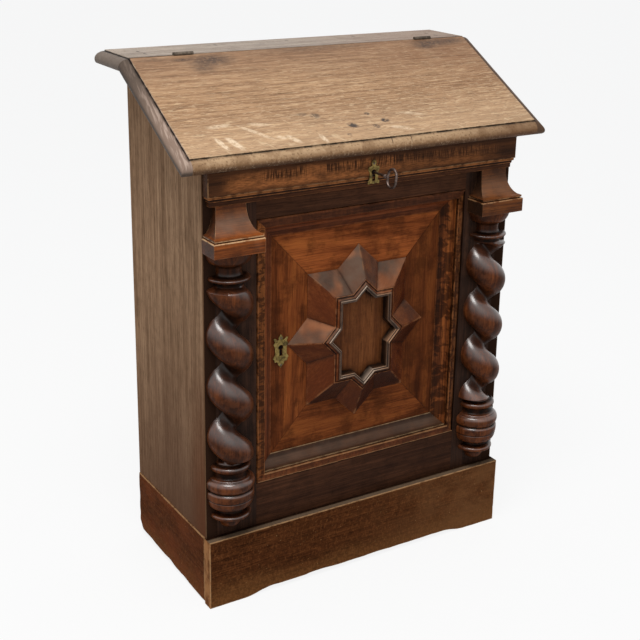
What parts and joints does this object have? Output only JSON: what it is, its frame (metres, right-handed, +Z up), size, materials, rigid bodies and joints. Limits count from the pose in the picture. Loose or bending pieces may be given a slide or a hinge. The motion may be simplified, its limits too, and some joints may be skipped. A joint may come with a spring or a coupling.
{
  "type": "secretaire chest",
  "caption": "Small slope-top secretaire chest: lidded desk well over a cupboard whose framed door has a raised faceted star panel between twisted half columns on a plain plinth",
  "frame": {"origin": "On the floor, midway across the width, and midway between the key's bow and the top board's back edge", "axes": "X is the width, the front with the door faces -Y, and +Z is up"},
  "size_m": [0.712, 0.3854, 0.9215],
  "materials": {
    "wood_side": "worn grey-brown oak, upright grain, waxed",
    "wood_top": "worn mid-brown oak with pale flecks and small knots, waxed",
    "wood_inner": "unfinished softwood, dusty",
    "wood_plinth": "dark red-brown stained oak, pale worn edges",
    "wood_dark": "near-black stained wood, rubbed",
    "wood_column": "very dark polished turned wood",
    "wood_frieze": "dark brown with orange worn middle, rippled grain",
    "wood_capital": "red-brown with worn orange lower edges",
    "wood_door_band": "orange-brown cross-grained veneer, polished",
    "wood_field": "orange and red-brown figured boards, polished",
    "wood_star": "red-brown with a grey sheen, polished",
    "iron": "dark forged iron",
    "lock_steel": "dull filed steel",
    "key_steel": "grey-brown worn steel",
    "brass_plate": "aged yellow-green brass"
  },
  "bodies": {
    "carcass": {"side_panel_left": "wood_side", "side_panel_right": "wood_side", "back_boards": "wood_inner", "cupboard_floor": "wood_inner", "cupboard_shelf": "wood_inner", "shelf_battens": "wood_inner", "desk_floor": "wood_inner", "top_board": "wood_top", "top_nails": "iron", "plinth_front": "wood_plinth", "plinth_left": "wood_plinth", "plinth_right": "wood_plinth", "plinth_back": "wood_plinth", "plinth_blocks": "wood_inner", "stile_left": "wood_dark", "stile_right": "wood_dark", "bottom_rail": "wood_dark", "top_rail": "wood_dark", "frieze": "wood_frieze", "cornice_moulding": "wood_frieze", "capital_left": "wood_capital", "capital_right": "wood_capital", "column_left": "wood_column", "column_right": "wood_column", "door_stops": "wood_inner", "door_keep": "iron", "pivot_pins": "iron", "hinge_leaves_fixed": "iron", "hinge_pins": "iron", "hinge_screws_fixed": "iron", "desk_lock_case": "lock_steel", "desk_lock_cap": "lock_steel", "desk_lock_spring": "lock_steel", "desk_escutcheon": "brass_plate", "desk_escutcheon_pins": "iron"},
    "lid": {"lid_board": "wood_top", "hinge_leaves_lid": "iron", "hinge_screws_lid": "iron", "lid_strike_plate": "brass_plate"},
    "door": {"door_stile_left": "wood_door_band", "door_stile_right": "wood_door_band", "door_rail_top": "wood_door_band", "door_rail_bottom": "wood_door_band", "door_hollow_moulding": "wood_dark", "door_panel": "wood_inner", "door_field_boards": "wood_field", "pivot_sockets": "iron", "star_points": "wood_star", "star_corners": "wood_star", "star_bead": "wood_dark", "star_tablet": "wood_star", "door_lock_case": "lock_steel", "door_lock_cap": "lock_steel", "door_lock_spring": "lock_steel", "door_escutcheon": "brass_plate", "door_escutcheon_pins": "iron"},
    "key": {"key": "key_steel"},
    "desk_bolt": {"desk_lock_bolt": "lock_steel"},
    "door_bolt": {"door_lock_bolt": "lock_steel"}
  },
  "joints": [
    {"name": "lid_hinge", "type": "hinge", "parent": "carcass", "child": "lid", "pos_m": [0, 0.08607, 0.91845], "axis": [-1, 0, 0], "range_deg": [0, 125]},
    {"name": "door_pivot", "type": "hinge", "parent": "carcass", "child": "door", "pos_m": [0.2015, -0.10155, 0.44257], "axis": [0, 0, 1], "range_deg": [0, 95]},
    {"name": "desk_key_turn", "type": "hinge", "parent": "carcass", "child": "key", "pos_m": [0, -0.12535, 0.73677], "axis": [0, 1, 0], "range_deg": [0, 360]},
    {"name": "desk_bolt_slide", "type": "slide", "parent": "carcass", "child": "desk_bolt", "axis": [0, 0, 1], "range_m": [0, 0.01]},
    {"name": "door_bolt_slide", "type": "slide", "parent": "door", "child": "door_bolt", "axis": [-1, 0, 0], "range_m": [0, 0.01]}
  ],
  "couplings": [
    {"joint": "desk_key_turn", "follows": "desk_bolt_slide", "rad_per_m": 628.31}
  ]
}
